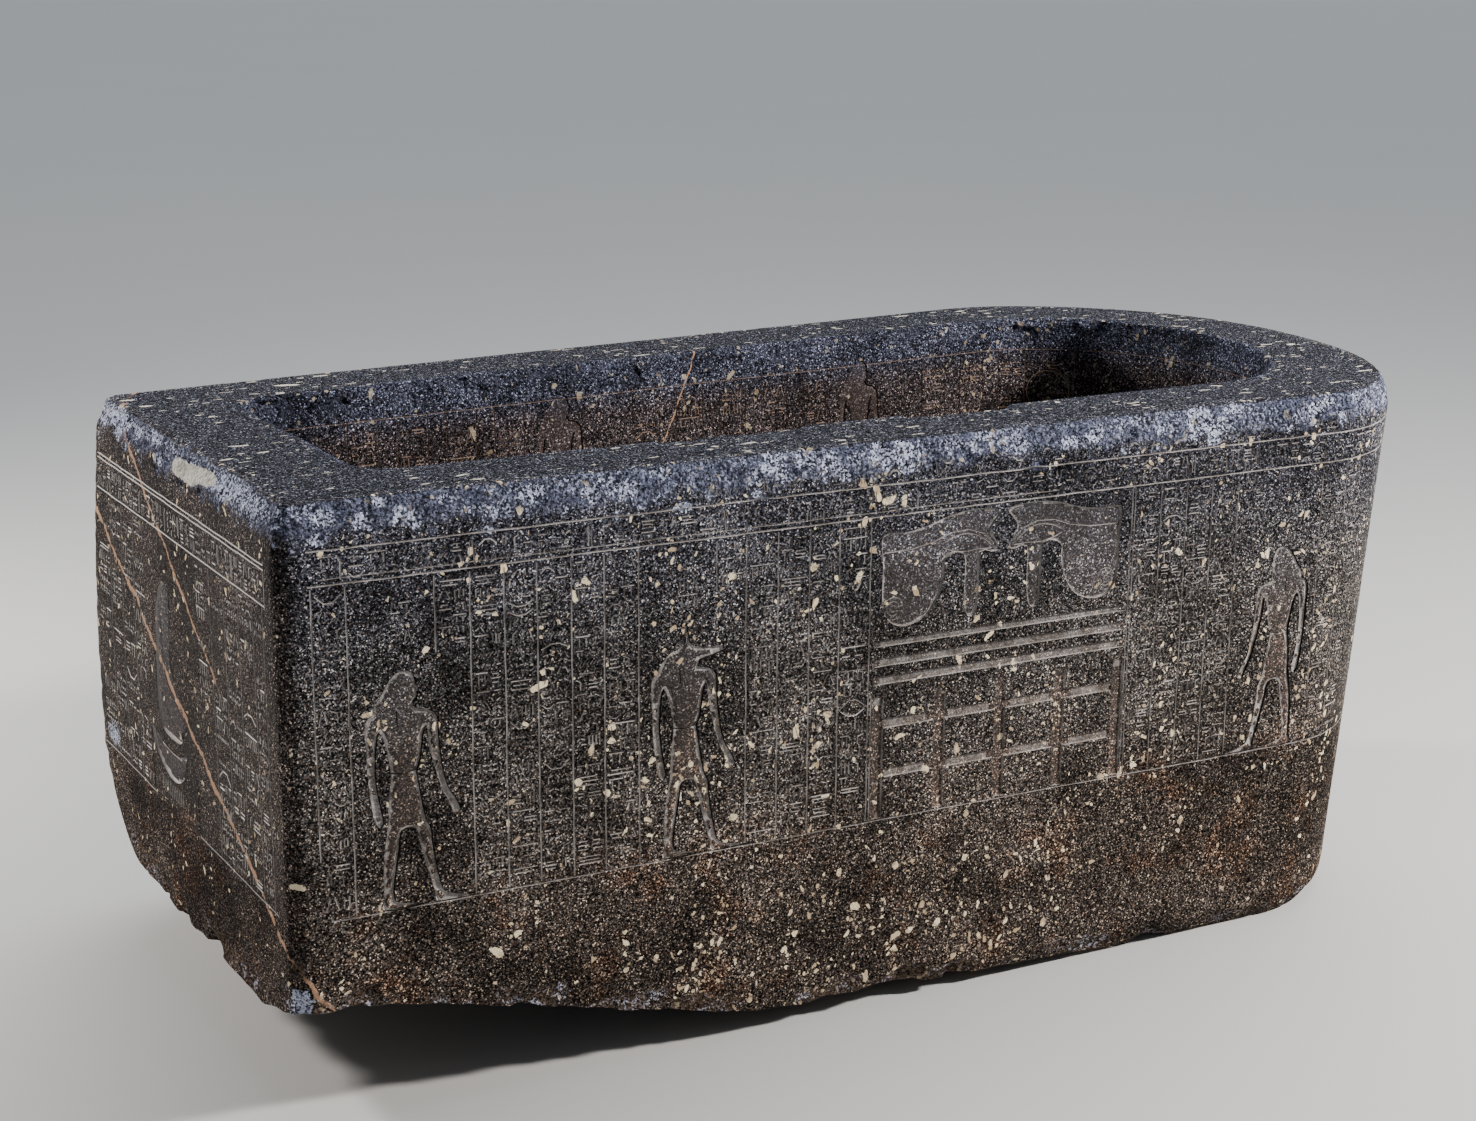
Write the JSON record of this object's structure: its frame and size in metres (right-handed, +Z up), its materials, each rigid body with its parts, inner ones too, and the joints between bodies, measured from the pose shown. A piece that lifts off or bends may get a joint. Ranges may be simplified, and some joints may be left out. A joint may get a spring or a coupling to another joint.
{
  "type": "stone sarcophagus chest",
  "caption": "Open stone sarcophagus chest hollowed from one block, flat at the foot and rounded at the head, with sunk figures, columns and a panel of eyes.",
  "frame": {"origin": "middle of the bounding box at the flat bed that the chest stands on", "axes": "+X runs from the flat foot end to the rounded head end, +Z is up, and the side with the panel of eyes faces -Y"},
  "size_m": [2.74, 1.3772, 1.17],
  "materials": {
    "dark_speckled_stone": "dark coarse granodiorite, rubbed smooth on its faces and rim, with pale crystals, orange veins, light worn carving and bruised, chipped edges"
  },
  "bodies": {
    "root": {"sarcophagus_chest": "dark_speckled_stone"}
  },
  "joints": []
}
